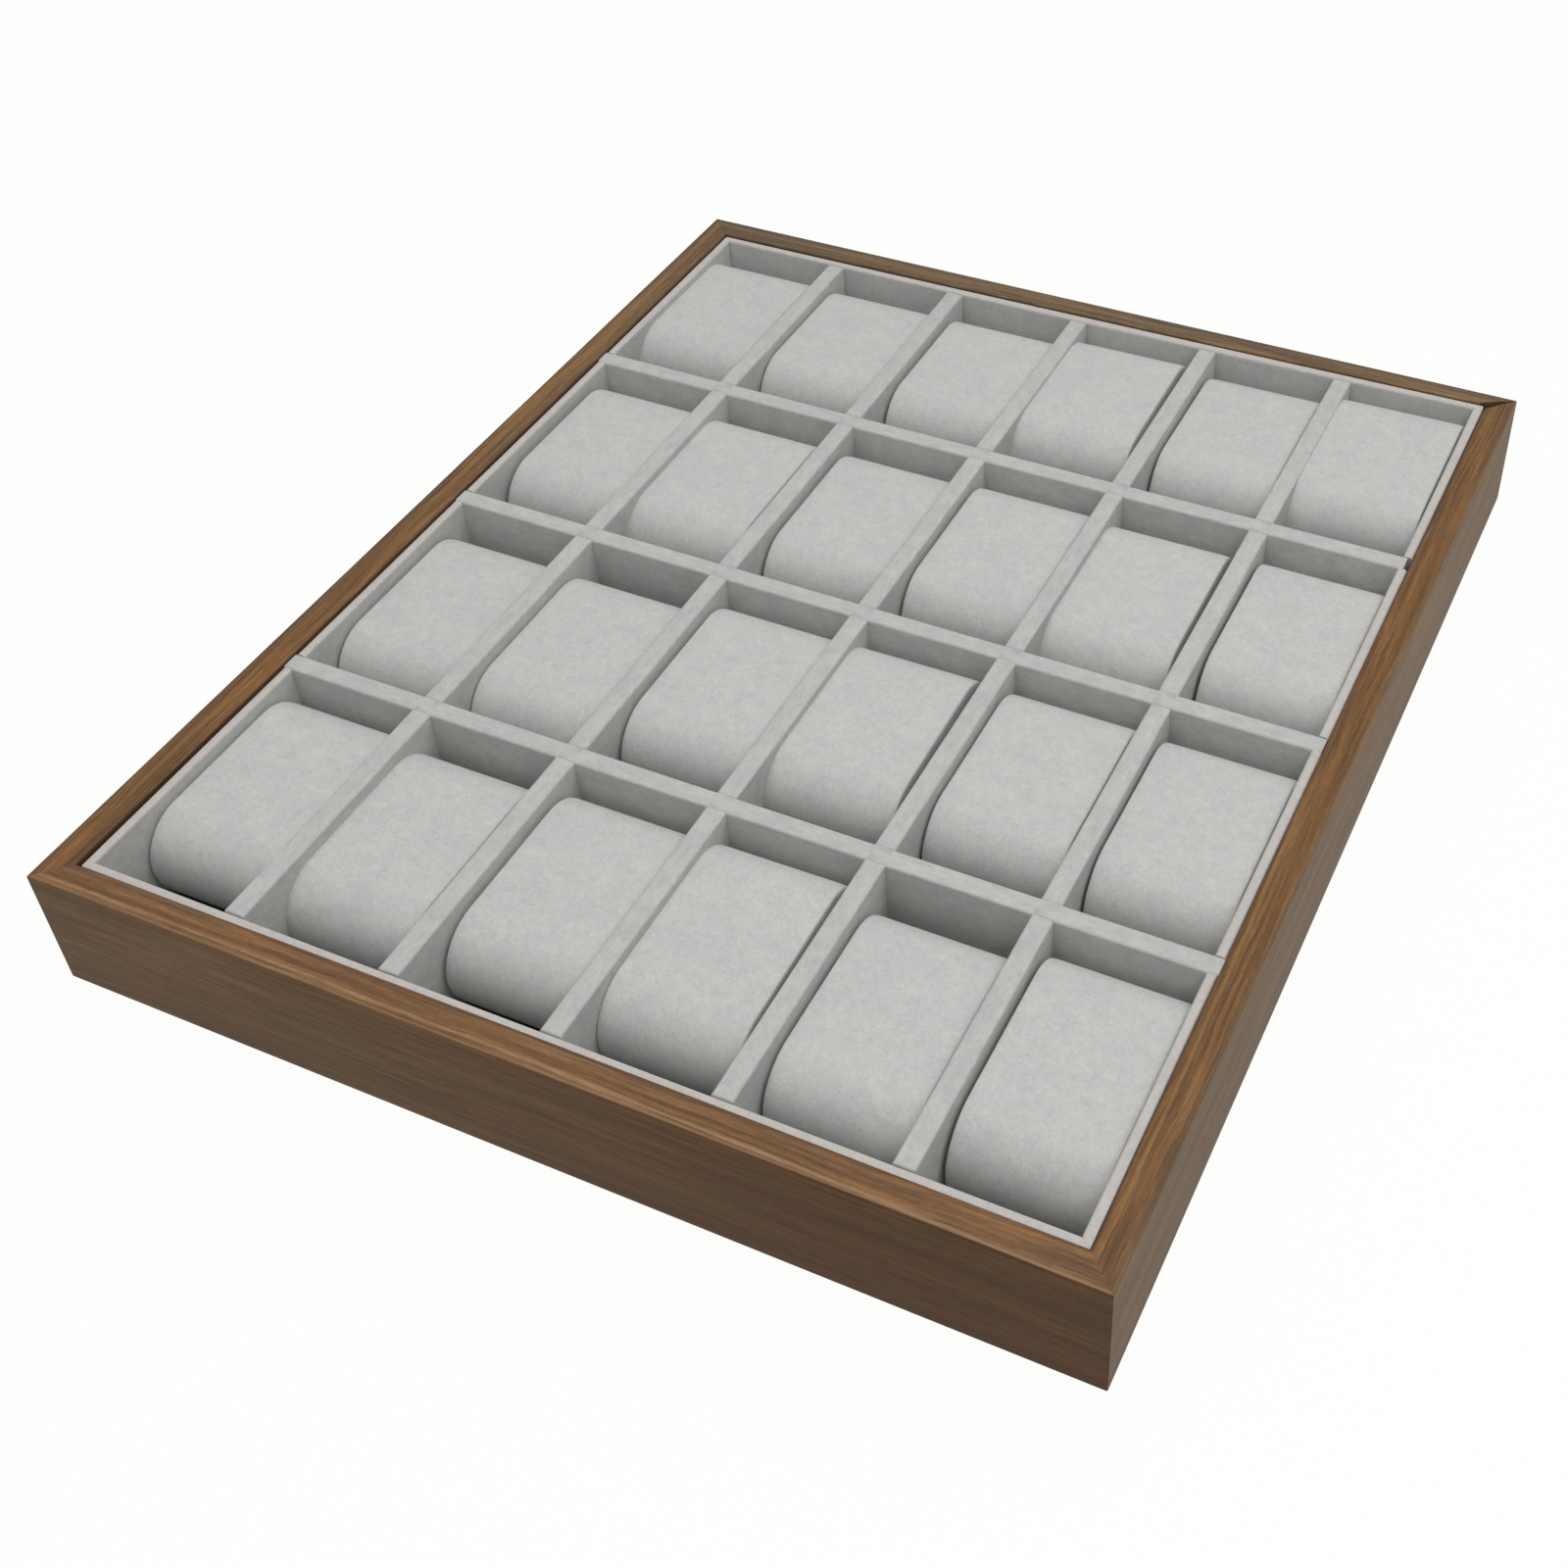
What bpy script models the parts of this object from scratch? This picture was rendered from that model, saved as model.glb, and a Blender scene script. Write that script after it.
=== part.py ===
# Open display tray for twenty four watches, six cells wide and four cells deep.
# Metres, +Z up. The origin is the middle of the underside, X runs along the short
# front rail and Y runs from the front rail to the back rail.

import math

import bmesh
import bpy
from mathutils import Matrix, Vector

# Cells: clear space between neighbouring walls, with some more length in the first
# and the last row
COLUMNS = 6
ROWS = 4
CELL_WIDTH = 0.0479
CELL_LENGTH = 0.0921
END_CELL_EXTRA = 0.0025

# Dividers and the boards that line the four walls
DIVIDER_THICKNESS = 0.0070
DIVIDER_HEIGHT = 0.0379
DIVIDER_ROUNDING = 0.0007
LINER_THICKNESS = 0.0030
LINER_ROUNDING = 0.0005
LINER_GAP = 0.0008
RIM_RISE = 0.0010

# Wooden frame and its bottom
RAIL_THICKNESS = 0.0100
ARRIS_RADIUS = 0.0006
REBATE_WIDTH = 0.0055
BASE_THICKNESS = 0.0040
BASE_RECESS = 0.0005
FLOOR_THICKNESS = 0.0020

# Watch cushions, smaller than their cells by the room beside and along them
CUSHION_DROP = 0.0032
CUSHION_SIDE_ROOM = 0.0028
CUSHION_LONG_ROOM = 0.0143
CUSHION_RIM = 0.0018
NOSE_SEGMENTS = 12

# Clearances
JOINT_GAP = 0.0003
HALVING_CLEARANCE = 0.0003
TONGUE_CLEARANCE = 0.0010

# The cushions lie loose. These shares of the free room lie to the left of each one and
# behind it, row by row from the front and column by column from the left.
SHARE_LEFT = (
    (0.4, 0.4, 1.0, 0.3, 1.0, 0.8),
    (0.7, 0.6, 0.7, 0.0, 0.6, 0.7),
    (0.7, 0.0, 0.6, 0.5, 0.0, 0.6),
    (0.0, 0.2, 0.5, 0.0, 0.5, 0.0),
)
SHARE_BEHIND = (
    (0.00, 0.16, 0.00, 0.00, 0.34, 0.00),
    (0.31, 0.39, 0.00, 0.00, 0.00, 0.07),
    (0.02, 0.08, 0.10, 0.00, 0.13, 0.07),
    (0.04, 0.13, 0.12, 0.00, 0.01, 0.00),
)

# Lattice, from the cells outwards
COLUMN_PITCH = CELL_WIDTH + DIVIDER_THICKNESS
ROW_PITCH = CELL_LENGTH + DIVIDER_THICKNESS
LATTICE_WIDTH = COLUMNS * CELL_WIDTH + (COLUMNS - 1) * DIVIDER_THICKNESS
LATTICE_LENGTH = ROWS * CELL_LENGTH + (ROWS - 1) * DIVIDER_THICKNESS + 2 * END_CELL_EXTRA
WELL_WIDTH = LATTICE_WIDTH + 2 * (LINER_THICKNESS + LINER_GAP)
WELL_LENGTH = LATTICE_LENGTH + 2 * (LINER_THICKNESS + LINER_GAP)
TRAY_WIDTH = WELL_WIDTH + 2 * RAIL_THICKNESS
TRAY_LENGTH = WELL_LENGTH + 2 * RAIL_THICKNESS

# Levels, from the underside upwards
REBATE_HEIGHT = BASE_RECESS + BASE_THICKNESS + JOINT_GAP
FLOOR_BOTTOM = BASE_RECESS + BASE_THICKNESS + JOINT_GAP
CELL_FLOOR = FLOOR_BOTTOM + FLOOR_THICKNESS + JOINT_GAP
DIVIDER_TOP = CELL_FLOOR + DIVIDER_HEIGHT
TRAY_HEIGHT = DIVIDER_TOP + RIM_RISE
HALVING_LEVEL = CELL_FLOOR + DIVIDER_HEIGHT / 2


def new_material(name, colour, roughness):
    """Principled material with one plain colour, for every part of its kind."""
    material = bpy.data.materials.new(name)
    material.use_nodes = True
    material.diffuse_color = (*colour, 1.0)
    shader = material.node_tree.nodes["Principled BSDF"]
    shader.inputs["Base Color"].default_value = (*colour, 1.0)
    shader.inputs["Roughness"].default_value = roughness
    shader.inputs["Metallic"].default_value = 0.0
    return material


def put_in(collection, name, data, material):
    """Object of its own for this mesh, linked to the collection."""
    obj = bpy.data.objects.new(name, data)
    collection.objects.link(obj)
    if material:
        data.materials.clear()
        data.materials.append(material)
    return obj


def box(size, centre):
    """Cube primitive stretched to a size and moved to its place."""
    shape = bmesh.new()
    bmesh.ops.create_cube(shape, size=1.0)
    bmesh.ops.scale(shape, vec=size, verts=shape.verts)
    bmesh.ops.translate(shape, vec=centre, verts=shape.verts)
    return shape


def round_top(shape, top, axis, radius, segments=2):
    """Rounds the long edges that run along one axis at the top level."""
    chosen = []
    for edge in shape.edges:
        first, second = edge.verts
        level = abs(first.co.z - top) < 1e-6 and abs(second.co.z - top) < 1e-6
        along = abs((second.co - first.co)[axis]) > 1e-6
        if level and along:
            chosen.append(edge)
    bmesh.ops.bevel(
        shape, geom=chosen, offset=radius, segments=segments, profile=0.5, affect="EDGES"
    )


def mitre(shape, half_length, half_width):
    """Cuts both ends of a bar along X, which lies on the -Y side, at 45 degrees.

    The full length is measured at the outer face and half a joint gap is left.
    """
    for side in (-1, 1):
        corner = Vector((side * (half_length - JOINT_GAP * math.sqrt(0.5)), -half_width, 0))
        normal = Vector((side, 1, 0)).normalized()
        faces = shape.verts[:] + shape.edges[:] + shape.faces[:]
        cut = bmesh.ops.bisect_plane(
            shape, geom=faces, plane_co=corner, plane_no=normal, clear_outer=True
        )
        rim = [item for item in cut["geom_cut"] if isinstance(item, bmesh.types.BMEdge)]
        bmesh.ops.edgeloop_fill(shape, edges=rim)


def to_mesh(shape, name):
    mesh = bpy.data.meshes.new(name)
    bmesh.ops.recalc_face_normals(shape, faces=shape.faces)
    shape.to_mesh(mesh)
    shape.free()
    return mesh


def subtract(obj, cutter):
    """Cuts one object with another, which stays as a hidden helper."""
    cutter.hide_render = True
    cutter.display_type = "WIRE"
    cut = obj.modifiers.new("cut " + cutter.name, "BOOLEAN")
    cut.operation = "DIFFERENCE"
    cut.solver = "EXACT"
    cut.object = cutter


for old in list(bpy.data.objects):
    bpy.data.objects.remove(old, do_unlink=True)

tray = bpy.data.collections.new("watch_tray")
cutters = bpy.data.collections.new("cutters")
bpy.context.scene.collection.children.link(tray)
bpy.context.scene.collection.children.link(cutters)

wood = new_material("walnut veneer", (0.180, 0.095, 0.048), 0.45)
panel = new_material("base panel", (0.110, 0.062, 0.035), 0.60)
board = new_material("wrapped lining board", (0.470, 0.480, 0.460), 0.90)
divider_cloth = new_material("wrapped divider", (0.490, 0.500, 0.480), 0.90)
cushion_cloth = new_material("cushion cloth", (0.480, 0.490, 0.480), 0.90)

# Frame: four mitred rails, each a bar with softened top arrises and a rebate below
RAILS = {
    "front_rail": (0, TRAY_WIDTH, TRAY_LENGTH),
    "right_rail": (90, TRAY_LENGTH, TRAY_WIDTH),
    "back_rail": (180, TRAY_WIDTH, TRAY_LENGTH),
    "left_rail": (270, TRAY_LENGTH, TRAY_WIDTH),
}
for name, (turn, length, across) in RAILS.items():
    size = (length + 2 * RAIL_THICKNESS, RAIL_THICKNESS, TRAY_HEIGHT)
    bar = box(size, (0, (RAIL_THICKNESS - across) / 2, TRAY_HEIGHT / 2))
    round_top(bar, TRAY_HEIGHT, 0, ARRIS_RADIUS, segments=3)
    mitre(bar, length / 2, across / 2)
    rail = put_in(tray, name, to_mesh(bar, name), wood)
    rail.rotation_euler.z = math.radians(turn)
    rebate_middle = -across / 2 + RAIL_THICKNESS
    groove = box(
        (length + RAIL_THICKNESS, 2 * REBATE_WIDTH, 2 * REBATE_HEIGHT), (0, rebate_middle, 0)
    )
    rebate = put_in(cutters, "rebate_" + name, to_mesh(groove, "rebate_" + name), None)
    rebate.rotation_euler.z = math.radians(turn)
    subtract(rail, rebate)

# Base panel let into the rebates from below, just short of the rails' underside
base_size = (
    WELL_WIDTH + 2 * (REBATE_WIDTH - JOINT_GAP),
    WELL_LENGTH + 2 * (REBATE_WIDTH - JOINT_GAP),
    BASE_THICKNESS,
)
base = box(base_size, (0, 0, BASE_RECESS + BASE_THICKNESS / 2))
put_in(tray, "base_panel", to_mesh(base, "base_panel"), panel)

# Lining card that covers the base inside the frame
floor_size = (WELL_WIDTH - 2 * LINER_GAP, WELL_LENGTH - 2 * LINER_GAP, FLOOR_THICKNESS)
floor = box(floor_size, (0, 0, FLOOR_BOTTOM + FLOOR_THICKNESS / 2))
put_in(tray, "floor_lining", to_mesh(floor, "floor_lining"), board)

# Lining boards: four thin mitred boards that stand inside the frame
LINERS = {
    "front_liner": (0, LATTICE_WIDTH, LATTICE_LENGTH),
    "right_liner": (90, LATTICE_LENGTH, LATTICE_WIDTH),
    "back_liner": (180, LATTICE_WIDTH, LATTICE_LENGTH),
    "left_liner": (270, LATTICE_LENGTH, LATTICE_WIDTH),
}
liners = {}
for name, (turn, length, across) in LINERS.items():
    outer_length = length + 2 * LINER_THICKNESS
    outer_across = across + 2 * LINER_THICKNESS
    size = (outer_length + 2 * LINER_THICKNESS, LINER_THICKNESS, DIVIDER_HEIGHT)
    middle = (0, (LINER_THICKNESS - outer_across) / 2, CELL_FLOOR + DIVIDER_HEIGHT / 2)
    strip = box(size, middle)
    round_top(strip, DIVIDER_TOP, 0, LINER_ROUNDING)
    mitre(strip, outer_length / 2, outer_across / 2)
    liners[name] = put_in(tray, name, to_mesh(strip, name), board)
    liners[name].rotation_euler.z = math.radians(turn)

# Left and back face of each cell, and from them the middles of the dividers
cell_left = [k * COLUMN_PITCH - LATTICE_WIDTH / 2 for k in range(COLUMNS)]
cell_back = [
    END_CELL_EXTRA + CELL_LENGTH + k * ROW_PITCH - LATTICE_LENGTH / 2 for k in range(ROWS)
]
cell_back[-1] += END_CELL_EXTRA
column_places = [x - DIVIDER_THICKNESS / 2 for x in cell_left[1:]]
row_places = [y + DIVIDER_THICKNESS / 2 for y in cell_back[:-1]]

# Row dividers run from wall to wall. Slots from below fit over the column dividers, and
# at each end a tongue of the upper half lies in a slot of the side lining.
tongue_end = WELL_WIDTH / 2 - TONGUE_CLEARANCE
shoulder = LATTICE_WIDTH / 2 - JOINT_GAP
slot_width = DIVIDER_THICKNESS + 2 * HALVING_CLEARANCE
over = DIVIDER_THICKNESS
for number, y in enumerate(row_places, start=1):
    name = f"row_divider_{number}"
    size = (2 * tongue_end, DIVIDER_THICKNESS, DIVIDER_HEIGHT)
    body = box(size, (0, y, CELL_FLOOR + DIVIDER_HEIGHT / 2))
    round_top(body, DIVIDER_TOP, 0, DIVIDER_ROUNDING)
    row = put_in(tray, name, to_mesh(body, name), divider_cloth)
    for index, x in enumerate(column_places, start=1):
        high = HALVING_LEVEL + JOINT_GAP
        depth = high - CELL_FLOOR + over
        slot = box((slot_width, 2 * slot_width, depth), (x, y, high - depth / 2))
        label = f"slot_{name}_{index}"
        subtract(row, put_in(cutters, label, to_mesh(slot, label), None))
    for side, wall in ((-1, "left_liner"), (1, "right_liner")):
        depth = HALVING_LEVEL - CELL_FLOOR + over
        notch = box(
            (2 * LINER_THICKNESS, 2 * slot_width, depth),
            (side * (shoulder + LINER_THICKNESS), y, HALVING_LEVEL - depth / 2),
        )
        label = f"notch_{name}_{wall}"
        subtract(row, put_in(cutters, label, to_mesh(notch, label), None))
        low = HALVING_LEVEL - JOINT_GAP
        depth = DIVIDER_TOP - low + over
        seat = box(
            (4 * LINER_THICKNESS, slot_width, depth),
            (side * (LATTICE_WIDTH / 2 + LINER_THICKNESS / 2), y, low + depth / 2),
        )
        label = f"seat_{name}_{wall}"
        subtract(liners[wall], put_in(cutters, label, to_mesh(seat, label), None))

# Column dividers butt against the front and back lining. Slots from above take the
# row dividers.
column_length = LATTICE_LENGTH - 2 * JOINT_GAP
for number, x in enumerate(column_places, start=1):
    name = f"column_divider_{number}"
    size = (DIVIDER_THICKNESS, column_length, DIVIDER_HEIGHT)
    body = box(size, (x, 0, CELL_FLOOR + DIVIDER_HEIGHT / 2))
    round_top(body, DIVIDER_TOP, 1, DIVIDER_ROUNDING)
    column = put_in(tray, name, to_mesh(body, name), divider_cloth)
    for index, y in enumerate(row_places, start=1):
        depth = DIVIDER_TOP - HALVING_LEVEL + over
        slot = box((2 * slot_width, slot_width, depth), (x, y, HALVING_LEVEL + depth / 2))
        label = f"slot_{name}_{index}"
        subtract(column, put_in(cutters, label, to_mesh(slot, label), None))

# Cushions: one outline of two straight runs and two half round noses, drawn in the
# Y, Z plane and given the cushion's width, with softened rims at both flat ends
cushion_height = DIVIDER_HEIGHT - CUSHION_DROP
cushion_width = CELL_WIDTH - CUSHION_SIDE_ROOM
cushion_length = CELL_LENGTH - CUSHION_LONG_ROOM
nose = cushion_height / 2 - CUSHION_RIM
straight = cushion_length / 2 - cushion_height / 2
outline = bpy.data.curves.new("cushion outline", "CURVE")
outline.dimensions = "2D"
outline.fill_mode = "BOTH"
outline.extrude = cushion_width / 2 - CUSHION_RIM
outline.bevel_depth = CUSHION_RIM
outline.bevel_resolution = 1
spline = outline.splines.new("POLY")
spline.points.add(2 * (NOSE_SEGMENTS + 1) - 1)
for k, point in enumerate(spline.points):
    end = -1 if k > NOSE_SEGMENTS else 1
    angle = math.pi * (k % (NOSE_SEGMENTS + 1)) / NOSE_SEGMENTS - math.pi / 2
    along = end * (straight + nose * math.cos(angle))
    point.co = (along, end * nose * math.sin(angle), 0, 1)
spline.use_cyclic_u = True
pattern = bpy.data.objects.new("cushion pattern", outline)
cutters.objects.link(pattern)
bpy.context.view_layer.update()
evaluated = pattern.evaluated_get(bpy.context.evaluated_depsgraph_get())
cushion_mesh = bpy.data.meshes.new_from_object(evaluated)
bpy.data.objects.remove(pattern, do_unlink=True)
shape = bmesh.new()
shape.from_mesh(cushion_mesh)
bmesh.ops.remove_doubles(shape, verts=shape.verts, dist=1e-6)
turned = Matrix.Rotation(math.pi / 2, 4, "Z") @ Matrix.Rotation(math.pi / 2, 4, "X")
bmesh.ops.transform(shape, matrix=turned, verts=shape.verts)
bmesh.ops.recalc_face_normals(shape, faces=shape.faces)
shape.to_mesh(cushion_mesh)
shape.free()
cushion_mesh.name = "cushion"
cushion_mesh.shade_smooth()
cushion_mesh.set_sharp_from_angle(angle=math.radians(40))
cushion_mesh.materials.clear()
cushion_mesh.materials.append(cushion_cloth)

for row in range(ROWS):
    room = CUSHION_LONG_ROOM + (END_CELL_EXTRA if row in (0, ROWS - 1) else 0)
    for column in range(COLUMNS):
        left = SHARE_LEFT[row % len(SHARE_LEFT)][column % len(SHARE_LEFT[0])]
        behind = SHARE_BEHIND[row % len(SHARE_BEHIND)][column % len(SHARE_BEHIND[0])]
        beside = JOINT_GAP + left * (CUSHION_SIDE_ROOM - 2 * JOINT_GAP)
        back = JOINT_GAP + behind * (room - 2 * JOINT_GAP)
        name = f"cushion_row{row + 1}_column{column + 1}"
        cushion = put_in(tray, name, cushion_mesh, None)
        cushion.location = (
            cell_left[column] + beside + cushion_width / 2,
            cell_back[row] - back - cushion_length / 2,
            CELL_FLOOR + cushion_height / 2,
        )
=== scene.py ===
import math

import bmesh
import bpy
from mathutils import Matrix, Vector


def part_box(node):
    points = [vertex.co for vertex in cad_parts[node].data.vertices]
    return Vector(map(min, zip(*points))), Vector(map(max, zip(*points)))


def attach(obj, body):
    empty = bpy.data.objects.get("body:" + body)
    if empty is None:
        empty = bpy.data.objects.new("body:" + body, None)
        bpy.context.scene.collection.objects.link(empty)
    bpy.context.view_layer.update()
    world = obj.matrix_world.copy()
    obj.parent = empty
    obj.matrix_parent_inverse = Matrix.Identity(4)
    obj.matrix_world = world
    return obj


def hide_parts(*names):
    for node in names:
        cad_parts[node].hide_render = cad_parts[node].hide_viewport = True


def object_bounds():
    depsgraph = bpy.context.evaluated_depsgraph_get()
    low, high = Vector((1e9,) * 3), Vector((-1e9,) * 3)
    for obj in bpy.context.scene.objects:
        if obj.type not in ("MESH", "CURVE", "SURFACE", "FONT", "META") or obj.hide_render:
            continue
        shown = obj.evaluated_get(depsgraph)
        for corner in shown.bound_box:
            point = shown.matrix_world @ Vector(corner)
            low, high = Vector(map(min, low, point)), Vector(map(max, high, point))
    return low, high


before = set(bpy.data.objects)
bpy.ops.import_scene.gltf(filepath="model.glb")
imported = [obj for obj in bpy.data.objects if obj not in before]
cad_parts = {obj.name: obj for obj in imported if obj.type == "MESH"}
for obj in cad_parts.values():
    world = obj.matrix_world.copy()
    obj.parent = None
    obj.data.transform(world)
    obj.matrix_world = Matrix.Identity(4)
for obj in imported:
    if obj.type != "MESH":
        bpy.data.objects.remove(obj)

cad_box = [list(corner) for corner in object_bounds()]

# Viewpoint: a camera in front of the tray's right half, looking down over its near corner.
# The shift puts the tray where the photo's frame has it.
camera_data = bpy.data.cameras.new("camera")
camera_data.sensor_width = 36.0
camera_data.lens = 47.881
camera_data.shift_x = -0.11285
camera_data.shift_y = -0.05152
camera_data.clip_start = 0.01
camera = bpy.data.objects.new("camera", camera_data)
bpy.context.scene.collection.objects.link(camera)
camera_turn = Matrix((
    (0.910184, 0.413960, -0.014215),
    (-0.271569, 0.622316, 0.734147),
    (0.312754, -0.664349, 0.678841),
)).transposed()
camera.matrix_world = Matrix.LocRotScale(
    Vector((0.26220, -0.47838, 0.50522)), camera_turn.to_quaternion(), None
)
bpy.context.scene.camera = camera


# Frame rails: four boards faced with walnut veneer, which runs over the top from the outer
# face, with eased arrises. They are mitred at the corners and glued, and the grain follows
# each rail.
class Level:
    """A number that shader nodes work out; arithmetic on it adds Math nodes."""

    def __init__(self, finish, socket):
        self.finish = finish
        self.socket = socket

    def math(self, operation, *values):
        return self.finish.math(operation, self, *values)

    def __add__(self, other):
        return self.finish.math("ADD", self, other)

    __radd__ = __add__

    def __sub__(self, other):
        return self.finish.math("SUBTRACT", self, other)

    def __rsub__(self, other):
        return self.finish.math("SUBTRACT", other, self)

    def __mul__(self, other):
        return self.finish.math("MULTIPLY", self, other)

    __rmul__ = __mul__

    def __truediv__(self, other):
        return self.finish.math("DIVIDE", self, other)

    def __abs__(self):
        return self.finish.math("ABSOLUTE", self)


class Finish:
    """One material, put together node by node around its Principled shader."""

    def __init__(self, name):
        self.material = bpy.data.materials.new(name)
        self.material.use_nodes = True
        self.tree = self.material.node_tree
        self.shader = self.tree.nodes["Principled BSDF"]

    def node(self, kind, settings=None, inputs=None, output=0):
        """Adds a node, with its settings first, and gives one of its outputs."""
        made = self.tree.nodes.new(kind)
        for key, value in (settings or {}).items():
            if key == "stops":
                while len(made.color_ramp.elements) < len(value):
                    made.color_ramp.elements.new(1.0)
                for stop, (place, colour) in zip(made.color_ramp.elements, value):
                    stop.position = place
                    stop.color = (*colour, 1.0)
            else:
                setattr(made, key, value)
        for key, value in (inputs or {}).items():
            self.feed(made.inputs[key], value)
        return Level(self, made.outputs[output])

    def feed(self, socket, value):
        if isinstance(value, Level):
            self.tree.links.new(value.socket, socket)
        elif socket.type == "RGBA":
            socket.default_value = (*value, 1.0)
        else:
            socket.default_value = value

    def math(self, operation, *values):
        return self.node(
            "ShaderNodeMath", {"operation": operation}, dict(enumerate(values))
        )

    def band(self, value, low, high):
        """0 below low, 1 above high and a soft step between them."""
        return self.node(
            "ShaderNodeMapRange",
            {"interpolation_type": "SMOOTHSTEP"},
            {"Value": value, "From Min": low, "From Max": high},
        )

    def noise(self, vector, scale, detail=2.0, roughness=0.5, distortion=0.0):
        return self.node(
            "ShaderNodeTexNoise",
            None,
            {
                "Vector": vector,
                "Scale": scale,
                "Detail": detail,
                "Roughness": roughness,
                "Distortion": distortion,
            },
        )

    def vector(self, x, y, z):
        return self.node("ShaderNodeCombineXYZ", None, {"X": x, "Y": y, "Z": z})

    def blend(self, factor, first, second, kind="MIX"):
        """Colour between two, by a factor."""
        return self.node(
            "ShaderNodeMix",
            {"data_type": "RGBA", "blend_type": kind},
            {0: factor, 6: first, 7: second},
            output=2,
        )

    def place(self):
        """Object coordinates, whole and as X, Y and Z."""
        whole = self.node("ShaderNodeTexCoord", None, None, output="Object")
        split = self.tree.nodes.new("ShaderNodeSeparateXYZ")
        self.tree.links.new(whole.socket, split.inputs[0])
        return whole, *(Level(self, out) for out in split.outputs)

    def surface(self, constants, links):
        """Sets the shader's constant sockets and links its varying ones."""
        for key, value in {**constants, **links}.items():
            self.feed(self.shader.inputs[key], value)


def walnut(side, seed, look):
    """Walnut veneer for one rail. Across it runs s: 0 at the outer arris, positive over the
    top and negative down the outer face, in millimetres, as is t along the rail. The grain
    turns the front right and the back left corner, where t is 0."""
    half_width, half_length, rim_top = cad_box[1]
    finish = Finish("walnut veneer " + side)
    whole, x, y, z = finish.place()
    along, inward = {
        "front": (half_width - x, y + half_length),
        "right": (y + half_length, half_width - x),
        "back": (x + half_width, half_length - y),
        "left": (half_length - y, x + half_width),
    }[side]
    t = along * 1000.0
    depth = inward * 1000.0
    drop = (rim_top - z) * 1000.0
    s = depth - drop

    def grain(along_scale, across_scale, number, detail=3.0, roughness=0.6):
        place = finish.vector(t * along_scale, s_bent * across_scale, seed + number)
        return finish.noise(place, 1.0, detail, roughness)

    wander = finish.noise(finish.vector(t * 0.008, s * 0.02, seed), 1.0, 2.0) - 0.5
    ripple = finish.noise(finish.vector(t * 0.045, s * 0.10, seed + 5.0), 1.0, 2.0) - 0.5
    s_bent = s + wander * 9.0 + ripple * 1.6
    broad = grain(0.012, 0.16, 3.1)
    stripe = grain(0.026, 1.00, 7.7)
    fine = grain(0.060, 2.6, 1.3)
    fibre = grain(0.16, 6.5, 2.4, 2.0)
    patch = grain(0.030, 0.08, 6.2, 2.0)
    blotch = grain(0.26, 0.75, 8.8, 2.0)
    pores = grain(0.30, 5.5, 9.2, 1.0, 0.5)
    top = finish.band(s, 0.1, 0.8)
    tone = finish.band(broad, 0.34, 0.66)
    # The outer faces take darker colours than the top: partly the veneer's own tone and partly painted
    # shade, for faces that get less light than the top.
    outer_colour = finish.blend(tone, (0.120, 0.068, 0.036), (0.165, 0.099, 0.053))
    outer_colour = finish.blend(
        finish.band(patch, 0.50, 0.66) * 0.35, outer_colour, (0.175, 0.078, 0.046)
    )
    outer_colour = finish.blend(
        finish.band(patch, 0.48, 0.34) * 0.35, outer_colour, (0.112, 0.086, 0.048)
    )
    top_colour = finish.blend(tone, (0.138, 0.072, 0.034), (0.225, 0.114, 0.048))
    colour = finish.blend(top, outer_colour, top_colour)
    dark_stripe = finish.band(stripe, 0.50, 0.34)
    colour = finish.blend(dark_stripe * (0.32 + 0.22 * top), colour, (0.066, 0.036, 0.020))
    light_stripe = finish.band(stripe, 0.54, 0.68)
    colour = finish.blend(light_stripe * (0.24 + 0.22 * top), colour, (0.285, 0.175, 0.096))
    for start, path, width, strength, hue in look["streaks"]:
        middle = path[0] + (t - start) * path[1] + (t - start) * (t - start) * path[2]
        wavy = s - middle + (fine - 0.5) * 1.2 + ripple * 0.8
        near = 1.0 - finish.band(abs(wavy), 0.0, width)
        ends = 1.0 - finish.band(abs(t - path[3]), path[4] * 0.5, path[4])
        colour = finish.blend(near * ends * top * strength, colour, hue)
    # Painted light in the outer tint: painted shade darkens the front outer face, most at its right end,
    # and a painted reflection makes the right outer face lighter and greyer, most at its back end.
    far = finish.band(t, 20.0, 330.0)
    outer_tint_with_painted_light = finish.blend(far, *look["outer_tint_with_painted_light"])
    tint = finish.blend(top, outer_tint_with_painted_light, finish.blend(far, *look["top_tint"]))
    colour = finish.blend(1.0, colour, tint, "MULTIPLY")
    level = 0.8 + 0.2 * top
    relief = ((fine - 0.5) * 0.8 + (stripe - 0.5) * 0.3 + (fibre - 0.5) * 0.6) * level
    pore = finish.band(pores, 0.60, 0.72)
    shade = 1.0 + relief + (blotch - 0.5) * (0.34 + 0.2 * top) - pore * 0.20 * level
    grey = finish.node("ShaderNodeCombineColor", None, {0: shade, 1: shade, 2: shade})
    colour = finish.blend(1.0, colour, grey, "MULTIPLY")
    # Painted light along the outer arris: a tan painted highlight on the front rail, painted shade in a
    # near-black line on the back and left rails, and a grey-brown line on the right rail.
    arris = 1.0 - finish.band(abs(s - 0.9 + (fine - 0.5) * 0.3), 0.1, 0.6)
    colour = finish.blend(arris * look["arris"][0], colour, look["arris"][1])
    # Painted shade: a dark line along the inner arris, where the top rounds down into the frame.
    inner_arris_painted_shade = finish.band(depth + (fine - 0.5) * 0.6, 9.1, 9.9)
    colour = finish.blend(inner_arris_painted_shade * look["inner_arris_painted_shade"], colour, (0.074, 0.036, 0.022))
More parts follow.
